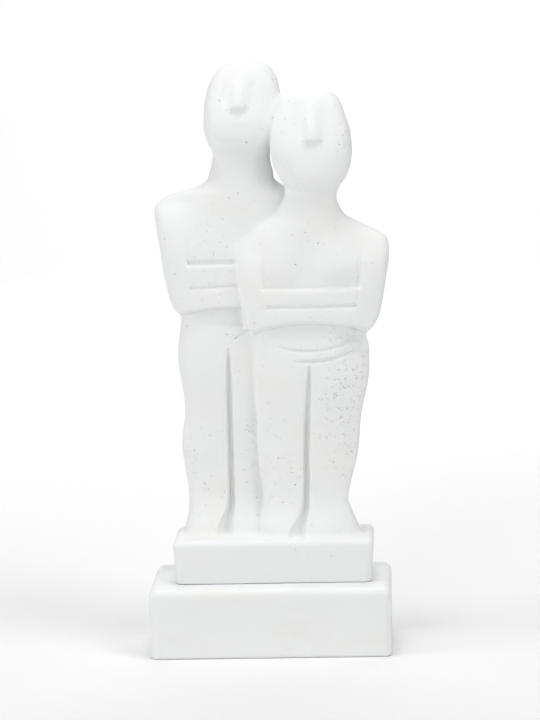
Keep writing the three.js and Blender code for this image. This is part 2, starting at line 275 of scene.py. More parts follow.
# Stretches where the cast's grid is finer, in millimetres: across the necks, flanks and grooves,
# and up the arms, thighs and faces
FINE_ACROSS = [(-28, -3), (-2, 3), (10, 23), (29, 35)]
FINE_UP = [(58, 135), (166, 196)]

# Camera: place and aim in millimetres, roll in degrees and lens, to match the photograph's view
CAMERA_PLACE = (43.44, -902.64, 234.62)
CAMERA_AIM = (1.28, 0.0, 98.45)
CAMERA_ROLL = -1.484
CAMERA_LENS = 135.17

# The floor and the sweep behind it, in metres from the object
FLOOR_WIDTH = 14.0
FLOOR_FRONT = -7.0
SWEEP_FROM = 1.1
SWEEP_RADIUS = 0.5
SWEEP_TOP = 1.6
SWEEP_STEPS = 12

# Lamps around the object: degrees to the viewer's right and up, then in metres how far off and
# how wide they are and where they aim. One more lamp lights the sweep.
LAMP_PLACES = (
    ("top_lamp", 0, 85), ("front_lamp", -20, 20), ("left_lamp", -60, 50),
    ("right_lamp", 60, 50), ("low_left_lamp", -75, 15), ("low_right_lamp", 50, 15),
)
LAMP_DISTANCE = 1.3
LAMP_SIZE = 0.6
LAMP_AIM = (0, 0, 0.11)
BACKDROP_LAMP_PLACE = (0, 0.7, 1.1)
BACKDROP_LAMP_AIM = (0, 1.5, 0.35)
BACKDROP_LAMP_SIZE = 0.9


class CoupleSizes(bpy.types.PropertyGroup):
    """Sizes of the cast couple's slab, and how finely the cast is meshed"""

    slab_width: bpy.props.FloatProperty(
        name="Slab width", description="Width of the slab", default=0.0681, unit="LENGTH")
    slab_depth: bpy.props.FloatProperty(
        name="Slab depth", description="Depth of the slab", default=0.0265, unit="LENGTH")
    slab_height: bpy.props.FloatProperty(
        name="Slab height", description="Height of the slab", default=0.015, unit="LENGTH")
    slab_corner: bpy.props.FloatProperty(
        name="Corner radius", description="Upright corners", default=0.0024, unit="LENGTH")
    slab_edge: bpy.props.FloatProperty(
        name="Edge radius", description="Top edges", default=0.002, unit="LENGTH")
    slab_taper: bpy.props.FloatProperty(
        name="Taper", description="How far the foot draws in", default=0.0009, unit="LENGTH")
    slab_offset: bpy.props.FloatVectorProperty(
        name="Slab offset", description="From the plinth's middle", size=2,
        default=(0.00125, -0.0004), unit="LENGTH")
    grid: bpy.props.FloatProperty(
        name="Grid", description="Spacing of the finest mesh", default=0.00036, unit="LENGTH")
    triangles: bpy.props.IntProperty(
        name="Triangles", description="Most triangles of the finished cast", default=192000)


class PinholeSizes(bpy.types.PropertyGroup):
    """The small bubbles that a poured cast keeps on its skin"""

    density: bpy.props.FloatProperty(
        name="Density", description="Pinholes on a square metre at full strength", default=800000)
    radius: bpy.props.FloatProperty(
        name="Radius", description="Radius of the largest", default=0.0006, unit="LENGTH")
    depth: bpy.props.FloatProperty(
        name="Depth", description="Depth of the largest", default=0.00032, unit="LENGTH")
    seed: bpy.props.IntProperty(name="Seed", description="Where they fall", default=7)


class PlinthSizes(bpy.types.PropertyGroup):
    """Sizes of the plinth block"""

    corner: bpy.props.FloatProperty(
        name="Corner radius", description="Upright corners", default=0.003, unit="LENGTH")
    edge: bpy.props.FloatProperty(
        name="Edge radius", description="Top edges", default=0.0028, unit="LENGTH")
    taper: bpy.props.FloatProperty(
        name="Taper", description="How far the foot draws in", default=0.0003, unit="LENGTH")
    grid: bpy.props.FloatProperty(
        name="Grid", description="Spacing of the mesh", default=0.0007, unit="LENGTH")


def linear(code):
    """Linear colour of an sRGB hex code."""
    parts = [int(code[i:i + 2], 16) / 255 for i in (1, 3, 5)]
    return [p / 12.92 if p <= 0.04045 else ((p + 0.055) / 1.055) ** 2.4 for p in parts]


def colour(name, description, code):
    """A colour that a user can change, from its sRGB hex code."""
    return bpy.props.FloatVectorProperty(
        name=name, description=description, subtype="COLOR", size=3, min=0, max=1,
        default=linear(code))


class FinishColours(bpy.types.PropertyGroup):
    """Colours of the two pieces"""

    alabaster: colour("Cast alabaster", "The cast's body colour", "#EBECEC")
    alabaster_warm: colour("Warm patches", "Faint warm patches on the cast", "#EBEAE7")
    # A dark grey for the casting pinholes: partly real dust, partly painted shade that stands in
    # for the shade inside the pits
    pinhole: colour("Pinholes", "Dust in the casting pinholes", "#BDBBB5")
    marble: colour("Plinth marble", "The plinth's body colour", "#EAEBEB")
    marble_vein: colour("Marble clouds", "Faint clouds in the plinth", "#E8E7E4")


class StageSettings(bpy.types.PropertyGroup):
    """The floor, the lamps and the surrounding light"""

    floor: colour("Floor", "The pale floor", "#EFEFEF")
    top_lamp: bpy.props.FloatProperty(
        name="Top lamp", description="Soft lamp above", default=7.3, unit="POWER")
    front_lamp: bpy.props.FloatProperty(
        name="Front lamp", description="Low lamp in front", default=4.1, unit="POWER")
    left_lamp: bpy.props.FloatProperty(
        name="Left lamp", description="High lamp on the left", default=2.2, unit="POWER")
    right_lamp: bpy.props.FloatProperty(
        name="Right lamp", description="High lamp on the right", default=4.4, unit="POWER")
    low_left_lamp: bpy.props.FloatProperty(
        name="Low left lamp", description="Low lamp on the left", default=4.2, unit="POWER")
    low_right_lamp: bpy.props.FloatProperty(
        name="Low right lamp", description="Low lamp on the right", default=3.4, unit="POWER")
    backdrop_lamp: bpy.props.FloatProperty(
        name="Backdrop lamp", description="Lamp for the sweep behind", default=11.0, unit="POWER")
    room_light: bpy.props.FloatProperty(
        name="Room light", description="Strength of the light all round", default=0.03)


def along(curve, at):
    """Value between the pairs of a curve, without overshoot: a monotone cubic."""
    heights, values = (np.array(column, float) for column in zip(*curve))
    at = np.clip(at, heights[0], heights[-1])
    step = np.diff(heights)
    slope = np.diff(values) / step
    both = slope[:-1] * slope[1:]
    total = slope[:-1] + slope[1:]
    tangent = np.zeros_like(heights)
    tangent[1:-1] = np.where(both > 0, 2 * both / np.where(both > 0, total, 1), 0)
    i = np.clip(np.searchsorted(heights, at, side="right") - 1, 0, len(step) - 1)
    t = (at - heights[i]) / step[i]
    ease = t * t * (3 - 2 * t)
    enter = t * (1 - t) ** 2 * step[i] * tangent[i]
    leave = t * t * (t - 1) * step[i] * tangent[i + 1]
    return values[i] + (values[i + 1] - values[i]) * ease + enter + leave


def smooth(value, low, high):
    """0 below low, 1 above high, and an even turn between."""
    t = np.clip((value - low) / (high - low), 0, 1)
    return t * t * (3 - 2 * t)


def groove(distance, half_width):
    """1 in the middle of a rounded groove, 0 at its edges."""
    return np.clip(1 - (distance / half_width) ** 2, 0, 1) ** 1.5


def mound(across, up):
    """1 in the middle of a round swelling, 0 at its rim."""
    return np.clip(1 - across ** 2 - up ** 2, 0, 1) ** 1.5


def joined(first, second, softness):
    """Union of two fields, with a fillet of about the given softness."""
    h = np.clip(0.5 + 0.5 * (second - first) / softness, 0, 1)
    return first * h + second * (1 - h) - softness * h * (1 - h)


def trimmed(first, second, softness):
    """What two fields have in common, its edge rounded by about the given softness."""
    h = np.clip(0.5 + 0.5 * (second - first) / softness, 0, 1)
    return first + (second - first) * h + softness * h * (1 - h)


def waves(x, y, z, size, seed, count=7):
    """Smooth unevenness between about -1 and 1, with swells of the given size."""
    draw = np.random.default_rng(seed)
    total = 0
    for _ in range(count):
        way = draw.normal(size=3)
        way *= 2 * math.pi / (size * draw.uniform(0.7, 1.6)) / np.linalg.norm(way)
        total = total + np.sin(x * way[0] + y * way[1] + z * way[2] + draw.uniform(0, 2 * math.pi))
    return total / (0.8 * count)


def arms_relief(figure, side, height, half):
    """Folded arms that stand out, with the lines between them, in millimetres."""
    size = figure.height
    across = np.abs(side)
    out = (across - ARM_LINE_ACROSS) * half
    inner = 1 - smooth(out, -0.2, 0.9)
    slope = 1 - smooth(out, 0, ARM_SLOPE)
    upper, upper_depth, upper_half, upper_tilt = figure.upper_line
    lower, lower_depth, lower_half, lower_tilt = figure.lower_line
    over_upper = (height - upper) * size - upper_tilt * side * half
    over_lower = (height - lower) * size - lower_tilt * side * half
    over_bottom = (height - figure.arms_bottom - figure.arms_arch * (1 - side ** 2)) * size

    # The forearms round under towards a sharp corner, below which the belly is hollowed
    turn = 1 - (1 - np.clip(over_bottom / figure.forearm_turn, 0, 1)) ** 2
    hollow = np.exp(np.clip(over_bottom, None, 0) / UNDER_ARM_REACH)
    hollow = hollow * (1 + figure.flank_hollow * smooth(side, FLANK_FROM, FLANK_TO))
    shoulders = 1 - smooth(height, upper, SHOULDER_FADE)
    chest = smooth(over_upper, -0.2, 1.1) * slope * figure.chest_step
    relief = (FOREARM_RISE * shoulders + UNDER_ARM_HOLLOW * hollow) * turn
    relief = relief - UNDER_ARM_HOLLOW * hollow
    relief = relief - FOREARM_RISE * shoulders * chest * turn

    relief = relief - upper_depth * groove(over_upper - 0.3, upper_half) * inner
    relief = relief - lower_depth * groove(over_lower, lower_half) * inner
    bottom = np.where(side < 0, figure.arm_line_bottom[0], figure.arm_line_bottom[1])
    reach = smooth((height - bottom) * size, -0.8, 0.1)
    top = figure.arm_line_top
    reach = reach * (1 - smooth(height, top - ARM_LINE_FADE, top))
    depth = np.where(side < 0, figure.arm_line_depth[0], figure.arm_line_depth[1])
    return relief - depth * groove(out, ARM_LINE_HALF_WIDTH) * reach


def body_relief(figure, side, height, half):
    """Bust, belly lines and the parting of the legs, in millimetres."""
    size = figure.height
    across = np.abs(side)
    bust_up = height - figure.upper_line[0] - BUST_ABOVE_LINE
    bust_up = bust_up / np.where(bust_up < 0, BUST_HALF_HEIGHT_BELOW, BUST_HALF_HEIGHT_ABOVE)
    bust = np.where(side < 0, figure.bust[0], figure.bust[1])
    relief = bust * mound((across - BUST_ACROSS) / BUST_HALF_WIDTH, bust_up)
    for at, sag, left_reach, right_reach, depth in figure.belly_lines:
        over_line = (height - at + sag * (1 - side ** 2) ** 1.5) * size
        ends = smooth(side, -left_reach, 0.25 - left_reach)
        ends = ends * (1 - smooth(side, right_reach - 0.2, right_reach))
        relief = relief - depth * ends * groove(over_line, BELLY_LINE_HALF_WIDTH)
    flare = figure.cleft_flare * (1 - smooth(height, 0, 0.07))
    width = along(CLEFT_HALF_WIDTH, height * CLEFT_CURVE_TOP / figure.cleft_top)
    depth = along(CLEFT_DEPTH, height * CLEFT_CURVE_TOP / figure.cleft_top) * size
    depth = depth * (1 - smooth(height, figure.cleft_top - 0.012, figure.cleft_top + 0.001))
    return relief - depth * groove(side * half - flare, width)


def face_relief(figure, side, height, half):
    """The nose, the soft hollows beside it and the dark mark below it, in millimetres."""
    size = figure.height
    out = np.abs(side) * half
    over_nose = (height - figure.nose_bottom) * size
    down = (figure.nose_top - height) / (figure.nose_top - figure.nose_bottom)
    widening = NOSE_HALF_WIDTH_BOTTOM - NOSE_HALF_WIDTH_TOP
    width = NOSE_HALF_WIDTH_TOP + widening * np.clip(down, 0, 1)
    ridge = NOSE_RISE * smooth(down, -0.1, 0.75) * np.exp(-((out / width) ** 3))
    ridge = ridge * smooth(over_nose, -0.9, 0.7)
    beside = np.exp(-((out - CHEEK_HOLLOW_OUT) / CHEEK_HOLLOW_SPREAD) ** 2)
    beside = beside * smooth(over_nose, -2, 3) * smooth(down, 0, 0.35)
    below = (over_nose + 0.55 * figure.hollow_height) / (0.7 * figure.hollow_height)
    mouth = mound(out / MOUTH_HALF_WIDTH, below)
    return ridge - CHEEK_HOLLOW * beside - figure.hollow_depth * mouth


def back_relief(figure, side, height):
    """The plainer back: spine, seat and the parting of the legs, in millimetres."""
    across = np.abs(side)
    spine = smooth(height, SPINE_BOTTOM, SPINE_BOTTOM + 0.07)
    spine = spine * (1 - smooth(height, SPINE_TOP - 0.08, SPINE_TOP))
    legs = 1 - smooth(height, figure.cleft_top - 0.05, figure.cleft_top + 0.03)
    seat_up = (height - SEAT_HEIGHT) / SEAT_HALF_HEIGHT
    relief = SEAT_RISE * mound((across - SEAT_ACROSS) / SEAT_HALF_WIDTH, seat_up)
    relief = relief - SPINE_DEPTH * spine * groove(side, SPINE_HALF_WIDTH)
    return relief - BACK_CLEFT_DEPTH * legs * groove(side, BACK_CLEFT_HALF_WIDTH)


def figure_field(figure, x, y, up):
    """Nearly the distance to a figure's skin, below 0 inside. Millimetres above the slab."""
    size = figure.height
    height = np.clip(up / size, -0.02, 1)
    half = size * along(figure.half_width, height)
    plain = (x - figure.x - size * along(figure.lean, height)) / half
    side = plain - size * along(figure.midline, height) / half * np.clip(1 - plain ** 2, 0, 1)
    inside = np.clip(side, -1, 1)
    power = along(SQUARENESS, height)
    # The carving fades out towards both flanks, where side is -1 and 1
    bulge = np.clip(1 - np.abs(inside) ** power, 0, 1) ** (1 / power)
    carved = np.clip(2 * bulge, 0, 1)

    drop = along(figure.chin_drop, height) * (1 - JAW_CURVE * inside ** 2)
    front = size * along(FRONT_DEPTH, height + drop)
    starts = np.where(inside < 0, figure.shoulder_from[0], figure.shoulder_from[1])
    outward = smooth(np.abs(inside) * half / size, starts, SHOULDER_TO)
    front = front - size * along(figure.shoulder_slope, height) * outward
    back = size * along(BACK_DEPTH, height)
    relief = arms_relief(figure, inside, height, half) + body_relief(figure, inside, height, half)
    relief = carved * (relief + face_relief(figure, inside, height, half))
    behind = carved * back_relief(figure, inside, height)

    deep = y - figure.y
    to_front = np.clip(-deep / (CARVING_FADE * front), 0, 1)
    to_back = np.clip(deep / (CARVING_FADE * back), 0, 1)
    deep = deep + relief * to_front - behind * to_back
    depth = np.where(deep < 0, front, back)
    # How far the skin is, along the line from the figure's axis
    reach = np.hypot(side * half, deep)
    share = (np.abs(side) ** power + np.abs(deep / depth) ** power) ** (1 / power)
    skin = reach - reach / np.maximum(share, 1e-6)
    return trimmed(up - size, skin, CROWN_ROUNDING)


def block_field(x, y, z, size, corner, edge, taper, foot):
    """Distance to a block with round corners and top edges. z runs from its own underside, which
    rises by foot at its rim."""
    width, depth, height = size
    drawn_in = taper * (1 - z / height)
    qx = np.abs(x) - (width / 2 - drawn_in - corner)
    qy = np.abs(y) - (depth / 2 - drawn_in - corner)
    plan = np.hypot(np.maximum(qx, 0), np.maximum(qy, 0)) + np.minimum(np.maximum(qx, qy), 0)
    plan = plan - corner
    px = plan + edge
    pz = z - (height - edge)
    rounded = np.hypot(np.maximum(px, 0), np.maximum(pz, 0)) - edge
    rounded = rounded + np.minimum(np.maximum(px, pz), 0)
    # The rise leaves a dark seam below the block
    rise = foot * smooth(plan, -2.5, -0.2)
    return trimmed(rise - z, rounded, BLOCK_ROUNDING)


def cast_field(sizes):
    """The field of the whole cast, both figures and the slab under them."""
    low = PLINTH_HIGH[2]
    slab = [v / MM for v in (sizes.slab_width, sizes.slab_depth, sizes.slab_height)]
    offset = [v / MM for v in sizes.slab_offset]
    (ax, az), (bx, bz) = MOULD_LINE
    line = np.array([bx - ax, bz - az])

    def field(x, y, z):
        up = z - low - slab[2]
        tall = figure_field(TALL, x, y, up)
        short = figure_field(SHORT, x, y, up)
        softness = JOIN_BODIES + (JOIN_HEADS - JOIN_BODIES) * smooth(up, *HEADS_FROM)
        softness = softness + (JOIN_BODIES - JOIN_HEADS) * smooth(up, *HEADS_TO)
        # The bodies end inside the slab
        bodies = np.maximum(joined(tall, short, softness), -up - FOOTING_DEPTH)

        # The mould line is on the front alone
        t = np.clip(((x - ax) * line[0] + (z - az) * line[1]) / (line @ line), 0, 1)
        beside = np.hypot(x - ax - t * line[0], z - az - t * line[1])
        seam = MOULD_LINE_DEPTH * (1 - 0.6 * t) * groove(beside, MOULD_LINE_HALF_WIDTH)
        bodies = bodies + seam * (y < TALL.y)

        # Long and short swells, in a skin that lies a little within the solids'
        uneven = 0.12 * waves(x, y, z, 17, 3) + 0.045 * waves(x, y, z, 4.5, 5) + 0.06
        foot = SLAB_RIM_RISE + SLAB_RIM_UNEVEN * np.clip(waves(x, y, 0 * z, 11, 11), 0, 1)
        block = block_field(
            x - offset[0], y - offset[1], z - low, slab, sizes.slab_corner / MM,
            sizes.slab_edge / MM, sizes.slab_taper / MM, foot)
        block = block + 0.05 + 0.04 * waves(x, y, z, 12, 8) * (z > low + 1)
        return joined(bodies + uneven, block, JOIN_FEET)

    return field


def plinth_field(sizes):
    """The field of the plinth block."""
    size = PLINTH_HIGH - PLINTH_LOW
    middle = (PLINTH_HIGH + PLINTH_LOW) / 2

    def field(x, y, z):
        block = block_field(
            x - middle[0], y - middle[1], z - PLINTH_LOW[2], size, sizes.corner / MM,
            sizes.edge / MM, sizes.taper / MM, PLINTH_RIM_RISE)
        # The sides are a little uneven, and the underside and the top stay level
        wear = 0.05 + 0.05 * waves(x, y, z, 21, 12) + 0.02 * waves(x, y, z, 5, 13)
        away = smooth(z, PLINTH_LOW[2], PLINTH_LOW[2] + 1) * (1 - smooth(z, size[2] - 0.5, size[2]))
        return block + wear * away

    return field


def graded(low, high, step, fine, spans):
    """Places from low to high, a step apart, and a fine step apart inside the spans."""
    places = [low]
    while places[-1] < high:
        close = any(a <= places[-1] <= b for a, b in spans)
        places.append(places[-1] + (fine if close else step))
    return np.array(places)


CORNERS = [(i, j, k) for i in (0, 1) for j in (0, 1) for k in (0, 1)]
EDGES = [
    (a, b) for a in range(8) for b in range(a + 1, 8)
    if sum(p != q for p, q in zip(CORNERS[a], CORNERS[b])) == 1
]


def skin_points(field, xs, ys, zs):
    """One point in each grid cell that the skin passes through, and the quads that join them."""
    values = field(xs[:, None, None], ys[None, :, None], zs[None, None, :])
    inside = values < 0
    shape = tuple(n - 1 for n in values.shape)
    count = np.zeros(shape, np.int8)
    for i, j, k in CORNERS:
        count += inside[i:i + shape[0], j:j + shape[1], k:k + shape[2]]
    cells = np.argwhere((count > 0) & (count < 8))
    index = np.full(shape, -1, np.int32)
    index[tuple(cells.T)] = np.arange(len(cells))

    axes = (xs, ys, zs)
    corner_values = []
    corner_places = []
    for corner in CORNERS:
        at = cells + corner
        corner_values.append(values[tuple(at.T)])
        corner_places.append(np.stack([axes[n][at[:, n]] for n in range(3)], 1))
    total = np.zeros((len(cells), 3))
    crossings = np.zeros(len(cells))
    for a, b in EDGES:
        va, vb = corner_values[a], corner_values[b]
        cut = (va < 0) != (vb < 0)
        t = np.where(cut, va / np.where(cut, va - vb, 1), 0)[:, None]
        total += np.where(cut[:, None], corner_places[a] * (1 - t) + corner_places[b] * t, 0)
        crossings += cut
    points = total / crossings[:, None]

    quads = []
    for axis in range(3):
        near = np.take(inside, range(values.shape[axis] - 1), axis)
        far = np.take(inside, range(1, values.shape[axis]), axis)
        first, second = [n for n in range(3) if n != axis]
        for leaving in (True, False):
            edges = np.argwhere((near & ~far) if leaving else (~near & far))
            ring = []
            for da, db in ((1, 1), (0, 1), (0, 0), (1, 0)):
                at = edges.copy()
                at[:, first] -= da
                at[:, second] -= db
                ring.append(index[tuple(at.T)])
            ring = np.stack(ring, 1)
            turned = leaving == (axis == 1)
            quads.append(ring[:, ::-1] if turned else ring)
    quads = np.concatenate(quads)
    if quads.min() < 0:
        raise ValueError("the skin runs out of its grid")
    return points, quads


def settle(field, points, most):
    """Moves points onto the skin along the field's slope, at most so far in each of two steps."""
    nudge = 0.02
    for _ in range(2):
        value = field(*points.T)
        slope = np.stack([
            (field(*(points + nudge * np.eye(3)[n]).T) - value) / nudge for n in range(3)], 1)
        steep = np.maximum((slope ** 2).sum(1), 0.05)
        move = -value[:, None] * slope / steep[:, None]
        length = np.linalg.norm(move, axis=1, keepdims=True)
        points = points + move * np.minimum(1, most / np.maximum(length, 1e-9))
    return points


def mesh_from_field(name, field, xs, ys, zs, most):
    """A smooth-shaded mesh object of a field's skin, whose points settle by up to most in each
    step. Millimetres in, metres out."""
    points, quads = skin_points(field, xs, ys, zs)
    points = settle(field, points, most)
    mesh = bpy.data.meshes.new(name)
    mesh.from_pydata(points * MM, [], quads)
    mesh.shade_smooth()
    piece = bpy.data.objects.new(name, mesh)
    bpy.context.scene.collection.objects.link(piece)
    return piece


def add(tree, kind, inputs=None, **settings):
    """A node with its settings, and its inputs given as values or as the sockets that feed them."""
    node = tree.nodes.new(kind)
    for key, value in settings.items():
        setattr(node, key, value)
    for key, value in (inputs or {}).items():
        if isinstance(value, bpy.types.NodeSocket):
            tree.links.new(value, node.inputs[key])
        else:
            node.inputs[key].default_value = value
    return node


def pinhole_tree():
    """Geometry Nodes that press small bowls into a skin where its "pitting" attribute is high."""
    tree = bpy.data.node_groups.new("Casting pinholes", "GeometryNodeTree")
    sockets = (
        ("Geometry", "NodeSocketGeometry"), ("Density", "NodeSocketFloat"),
        ("Radius", "NodeSocketFloat"), ("Depth", "NodeSocketFloat"), ("Seed", "NodeSocketInt"),
        ("Finish", "NodeSocketMaterial"),
    )
    for name, kind in sockets:
        tree.interface.new_socket(name, in_out="INPUT", socket_type=kind)
    tree.interface.new_socket("Geometry", in_out="OUTPUT", socket_type="NodeSocketGeometry")
    given = add(tree, "NodeGroupInput").outputs
    skin = given["Geometry"]

    pitting = add(tree, "GeometryNodeInputNamedAttribute", {"Name": "pitting"}, data_type="FLOAT")
    density = add(
        tree, "ShaderNodeMath", {0: pitting.outputs["Attribute"], 1: given["Density"]},
        operation="MULTIPLY")
    bubbles = add(
        tree, "GeometryNodeDistributePointsOnFaces",
        {"Mesh": skin, "Density": density.outputs[0], "Seed": given["Seed"]},
        distribute_method="RANDOM").outputs["Points"]
    place = add(tree, "GeometryNodeInputPosition").outputs[0]
    nearest = add(tree, "GeometryNodeSampleNearest", {"Geometry": bubbles}).outputs[0]
    middle = add(
        tree, "GeometryNodeSampleIndex", {"Geometry": bubbles, "Value": place, "Index": nearest},
        data_type="FLOAT_VECTOR").outputs[0]
    # Most bubbles are small: a square of an even draw
    draw = add(
        tree, "FunctionNodeRandomValue", {2: 0.55, 3: 1.0, "ID": nearest, "Seed": given["Seed"]},
        data_type="FLOAT").outputs[1]
    share = add(tree, "ShaderNodeMath", {0: draw, 1: 2.0}, operation="POWER").outputs[0]
    radius = add(tree, "ShaderNodeMath", {0: share, 1: given["Radius"]}, operation="MULTIPLY")
    away = add(tree, "ShaderNodeVectorMath", {0: place, 1: middle}, operation="DISTANCE")
    bowl = add(
        tree, "ShaderNodeMapRange",
        {"Value": away.outputs["Value"], "From Min": 0.0, "From Max": radius.outputs[0],
         "To Min": 1.0, "To Max": 0.0},
        interpolation_type="SMOOTHSTEP").outputs[0]
    depth = add(tree, "ShaderNodeMath", {0: bowl, 1: given["Depth"]}, operation="MULTIPLY")
    depth = add(tree, "ShaderNodeMath", {0: depth.outputs[0], 1: share}, operation="MULTIPLY")
    inward = add(tree, "ShaderNodeMath", {0: depth.outputs[0], 1: -1.0}, operation="MULTIPLY")
    normal = add(tree, "GeometryNodeInputNormal").outputs[0]
    offset = add(
        tree, "ShaderNodeVectorMath", {0: normal, "Scale": inward.outputs[0]}, operation="SCALE")
    # Keeps where each bowl lies, so that the finish can darken the pits with dust and painted shade
    marked = add(
        tree, "GeometryNodeStoreNamedAttribute",
        {"Geometry": skin, "Name": "pinhole", "Value": bowl},
        data_type="FLOAT", domain="POINT").outputs[0]
    pressed = add(
        tree, "GeometryNodeSetPosition", {"Geometry": marked, "Offset": offset.outputs[0]})
    real = add(tree, "GeometryNodeRealizeInstances", {"Geometry": pressed.outputs[0]})
    finished = add(
        tree, "GeometryNodeSetMaterial",
        {"Geometry": real.outputs[0], "Material": given["Finish"]}).outputs[0]
    add(tree, "NodeGroupOutput", {"Geometry": finished})
    return tree


def apply_modifiers(piece):
    """Turns a piece with its modifiers into a plain mesh."""
    depsgraph = bpy.context.evaluated_depsgraph_get()
    mesh = bpy.data.meshes.new_from_object(
        piece.evaluated_get(depsgraph), preserve_all_data_layers=True, depsgraph=depsgraph)
    mesh.name = piece.name
    piece.modifiers.clear()
    piece.data = mesh


def press_pinholes(piece, sizes, material):
    """Presses the casting pinholes into a piece and gives it its finish."""
    tree = pinhole_tree()
    modifier = piece.modifiers.new("Casting pinholes", "NODES")
    modifier.node_group = tree
    wanted = {
        "Density": sizes.density, "Radius": sizes.radius, "Depth": sizes.depth,
        "Seed": sizes.seed, "Finish": material,
    }
    for item in tree.interface.items_tree:
        if item.in_out == "INPUT" and item.name in wanted:
            modifier[item.identifier] = wanted[item.name]
    apply_modifiers(piece)


def set_pitting(piece, sizes):
    """Writes how thickly the casting pinholes lie, from 0 to 1, at each vertex."""
    mesh = piece.data
    places = np.zeros(len(mesh.vertices) * 3)
    mesh.vertices.foreach_get("co", places)
    x, y, z = places.reshape(-1, 3).T / MM
    pitting = 0.035 + 0.035 * waves(x, y, z, 14, 21)
    for middle, up, across, tall, strength in PINHOLE_PATCHES:
        patch = mound((x - middle) / across, (z - up) / tall) * strength
        pitting = np.maximum(pitting, patch * (0.75 + 0.25 * waves(x, y, z, 7, 22)))
    slab_top = PLINTH_HIGH[2] + sizes.slab_height / MM
    pitting = pitting * (0.25 + 0.75 * smooth(z, slab_top, slab_top + 4))
    attribute = mesh.attributes.new("pitting", "FLOAT", "POINT")
    attribute.data.foreach_set("value", np.clip(pitting, 0, 1).astype(np.float32))


def new_material(name):
    """An empty material with its shader and output."""
    material = bpy.data.materials.new(name)
    material.use_nodes = True
    tree = material.node_tree
    tree.nodes.clear()
    shader = add(tree, "ShaderNodeBsdfPrincipled")
    add(tree, "ShaderNodeOutputMaterial", {"Surface": shader.outputs["BSDF"]})
    return material, tree, shader


def cast_alabaster(colours):
    """Marble dust cast in a binder and left as it leaves the mould: white, matt, with a fine
    grain of 0.9 mm, small pinholes about 1 mm apart and faint warm patches some 26 mm wide. The
    real grain is finer, but wouldn't show at a picture's scale."""
    material, tree, shader = new_material("cast_alabaster")
    place = add(tree, "ShaderNodeTexCoord").outputs["Object"]
    grain = add(
        tree, "ShaderNodeTexNoise", {"Vector": place, "Scale": 1 / (0.9 * MM), "Detail": 4.0,
                                     "Roughness": 0.6}).outputs["Fac"]
    cloud = add(
        tree, "ShaderNodeTexNoise", {"Vector": place, "Scale": 1 / (26 * MM), "Detail": 3.0,
                                     "Roughness": 0.55}).outputs["Fac"]
    warm = add(
        tree, "ShaderNodeMapRange", {"Value": cloud, "From Min": 0.5, "From Max": 0.75},
        interpolation_type="SMOOTHSTEP").outputs[0]
    body = add(
        tree, "ShaderNodeMix", {"Factor": warm, 6: (*colours.alabaster, 1),
                                7: (*colours.alabaster_warm, 1)}, data_type="RGBA").outputs[2]

    # Small pinholes: a few of the cells of a 1.1 mm pattern hold one, more where pitting is high
    cells = add(
        tree, "ShaderNodeTexVoronoi", {"Vector": place, "Scale": 1 / (1.1 * MM)})
    draw = add(tree, "ShaderNodeSeparateColor", {"Color": cells.outputs["Color"]}).outputs
    pitting = add(tree, "ShaderNodeAttribute", attribute_name="pitting").outputs["Fac"]
    held = add(
        tree, "ShaderNodeMath", {0: draw["Red"], 1: pitting}, operation="LESS_THAN").outputs[0]
    radius = add(
        tree, "ShaderNodeMapRange", {"Value": draw["Green"], "To Min": 0.17, "To Max": 0.36})
    spot = add(
        tree, "ShaderNodeMapRange",
        {"Value": cells.outputs["Distance"], "From Min": 0.04, "From Max": radius.outputs[0],
         "To Min": 1.0, "To Max": 0.0}, interpolation_type="SMOOTHSTEP").outputs[0]
    small = add(tree, "ShaderNodeMath", {0: spot, 1: held}, operation="MULTIPLY").outputs[0]
    large = add(tree, "ShaderNodeAttribute", attribute_name="pinhole").outputs["Fac"]
    deep = add(
        tree, "ShaderNodeMapRange", {"Value": large, "From Min": 0.35, "From Max": 1.0,
                                     "To Max": 0.8}).outputs[0]
    # Both kinds of pinhole are darkened towards the pinhole colour, by up to half: partly real
    # dust, partly painted shade inside the pits
    pit_dust_and_shade = add(tree, "ShaderNodeMath", {0: small, 1: deep}, operation="MAXIMUM").outputs[0]
    pit_dust_and_shade_mix = add(tree, "ShaderNodeMath", {0: pit_dust_and_shade, 1: 0.5}, operation="MULTIPLY").outputs[0]
    skin = add(
        tree, "ShaderNodeMix", {"Factor": pit_dust_and_shade_mix, 6: body, 7: (*colours.pinhole, 1)},
        data_type="RGBA").outputs[2]

    relief = add(
        tree, "ShaderNodeMath", {0: small, 1: -6.0, 2: grain}, operation="MULTIPLY_ADD").outputs[0]
    bump = add(
        tree, "ShaderNodeBump", {"Strength": 0.7, "Distance": 0.1 * MM, "Height": relief})
    tree.links.new(skin, shader.inputs["Base Color"])
    tree.links.new(bump.outputs[0], shader.inputs["Normal"])
    shader.inputs["Roughness"].default_value = 0.62
    shader.inputs["IOR"].default_value = 1.52
    shader.inputs["Subsurface Weight"].default_value = 0.12
    shader.inputs["Subsurface Radius"].default_value = (1.0, 0.85, 0.7)
    shader.inputs["Subsurface Scale"].default_value = 1.2 * MM
    return material


